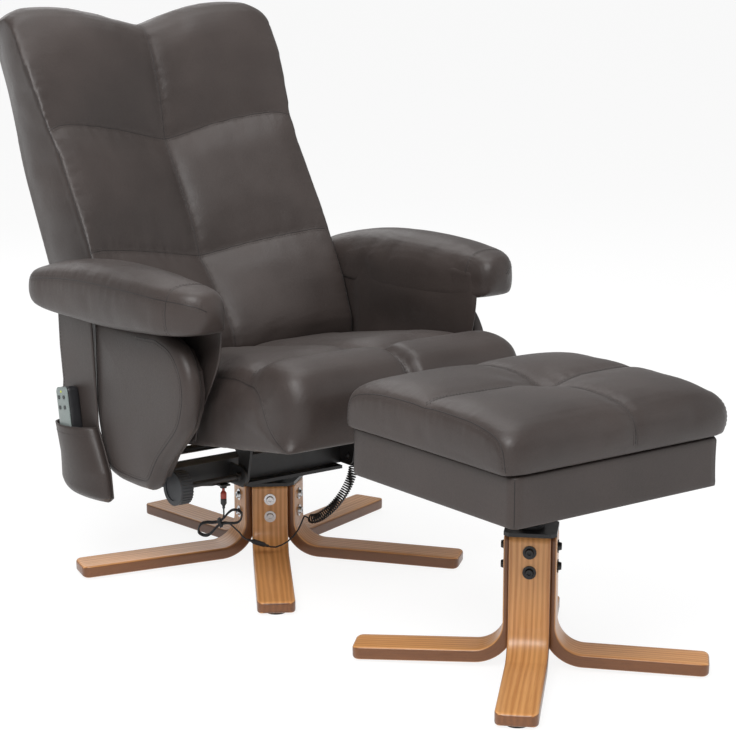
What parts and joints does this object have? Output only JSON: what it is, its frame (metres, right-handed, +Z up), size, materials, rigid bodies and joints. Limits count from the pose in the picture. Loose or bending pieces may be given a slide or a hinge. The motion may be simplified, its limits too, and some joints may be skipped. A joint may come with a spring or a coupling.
{
  "type": "reflexology chair",
  "caption": "Swivel recliner with channelled back, padded arms, handset pocket and bent wooden star base, with a matching swivel storage footstool.",
  "frame": {"origin": "floor level below the middle of the set's bounding box", "axes": "+Z up; the sitter faces -Y, towards the footstool; the sitter's left is +X"},
  "size_m": [0.756, 1.5028, 0.9887],
  "materials": {
    "leg_wood": "satin",
    "board": "matte",
    "upholstery": "satin",
    "bright_steel": "satin",
    "black_steel": "satin",
    "black_rubber": "matte",
    "black_plastic": "matte",
    "grey_plastic": "satin",
    "button_rubber": "matte",
    "red_plastic": "satin"
  },
  "bodies": {
    "base": {"base_leg_1": "leg_wood", "base_leg_2": "leg_wood", "base_leg_3": "leg_wood", "base_leg_4": "leg_wood", "base_leg_5": "leg_wood", "hub_core": "black_steel", "hub_cap": "black_steel", "hub_bolts": "bright_steel", "base_foot_pads": "black_rubber", "bearing_sleeve": "bright_steel"},
    "upper_frame": {"swivel_post": "black_steel", "cross_beam": "black_steel", "rear_tie_bar": "black_steel", "side_frame_left": "upholstery", "side_frame_right": "upholstery", "frame_bolts": "bright_steel", "side_panel_left": "upholstery", "side_panel_right": "upholstery", "arm_pad_left": "upholstery", "arm_pad_right": "upholstery", "arm_skirt_left": "upholstery", "arm_skirt_right": "upholstery", "pocket_flap": "upholstery", "handset_pocket": "upholstery", "cord_grommets": "black_rubber", "power_connector": "red_plastic", "hank_lead": "black_rubber", "hank_tie": "black_plastic", "barrel_connector": "black_plastic", "curly_lead": "black_rubber"},
    "lock": {"lock_knob": "black_plastic", "lock_shaft": "bright_steel"},
    "seat": {"seat_tilt_plates": "black_steel", "seat_board": "board", "seat_cushion": "upholstery", "seat_motors": "black_plastic", "back_hinge_brackets": "black_steel"},
    "back": {"back_board": "board", "back_cushion": "upholstery", "back_cover": "upholstery", "back_hinge_arms": "black_steel", "back_motors": "black_plastic"},
    "handset": {"handset_front": "grey_plastic", "handset_rear": "black_plastic"},
    "button_power": {"button_power": "button_rubber"},
    "button_mode": {"button_mode": "button_rubber"},
    "button_up": {"button_up": "button_rubber"},
    "button_down": {"button_down": "button_rubber"},
    "stool_base": {"stool_leg_1": "leg_wood", "stool_leg_2": "leg_wood", "stool_leg_3": "leg_wood", "stool_leg_4": "leg_wood", "stool_hub_core": "black_steel", "stool_hub_cap": "black_steel", "stool_bolts": "black_steel", "stool_foot_pads": "black_rubber"},
    "stool_top": {"stool_post": "black_steel", "stool_box": "upholstery"},
    "lid": {"lid_board": "board", "lid_hinge": "bright_steel", "lid_cushion": "upholstery"}
  },
  "joints": [
    {"name": "chair_swivel", "type": "hinge", "parent": "base", "child": "upper_frame", "pos_m": [0, 0.19505, 0], "axis": [0, 0, 1], "continuous": true},
    {"name": "seat_tilt", "type": "hinge", "parent": "upper_frame", "child": "seat", "pos_m": [0, 0.10205, 0.186], "axis": [-1, 0, 0], "range_deg": [0, 4.6]},
    {"name": "back_recline", "type": "hinge", "parent": "seat", "child": "back", "pos_m": [0, 0.36312, 0.29881], "axis": [-1, 0, 0], "range_deg": [0, 18]},
    {"name": "lock_turn", "type": "hinge", "parent": "upper_frame", "child": "lock", "pos_m": [0, 0.10205, 0.186], "axis": [1, 0, 0], "range_deg": [0, 180]},
    {"name": "handset_lift", "type": "slide", "parent": "upper_frame", "child": "handset", "axis": [0, 0.1736, 0.9848], "range_m": [0, 0.11]},
    {"name": "button_power_press", "type": "slide", "parent": "handset", "child": "button_power", "axis": [1, 0, 0], "range_m": [0, 0.001], "stiffness_N_per_m": 400, "springref_m": -0.001},
    {"name": "button_mode_press", "type": "slide", "parent": "handset", "child": "button_mode", "axis": [1, 0, 0], "range_m": [0, 0.001], "stiffness_N_per_m": 400, "springref_m": -0.001},
    {"name": "button_up_press", "type": "slide", "parent": "handset", "child": "button_up", "axis": [1, 0, 0], "range_m": [0, 0.001], "stiffness_N_per_m": 400, "springref_m": -0.001},
    {"name": "button_down_press", "type": "slide", "parent": "handset", "child": "button_down", "axis": [1, 0, 0], "range_m": [0, 0.001], "stiffness_N_per_m": 400, "springref_m": -0.001},
    {"name": "stool_slide", "type": "slide", "parent": "base", "child": "stool_base", "axis": [0, -1, 0], "range_m": [0, 0.3]},
    {"name": "stool_swivel", "type": "hinge", "parent": "stool_base", "child": "stool_top", "pos_m": [0, -0.53695, 0], "axis": [0, 0, 1], "continuous": true},
    {"name": "lid_hinge_turn", "type": "hinge", "parent": "stool_top", "child": "lid", "pos_m": [0.2083, -0.53695, 0.3739], "axis": [0, 1, 0], "range_deg": [0, 80]}
  ],
  "couplings": [
    {"joint": "seat_tilt", "follows": "back_recline", "ratio": 0.25}
  ]
}
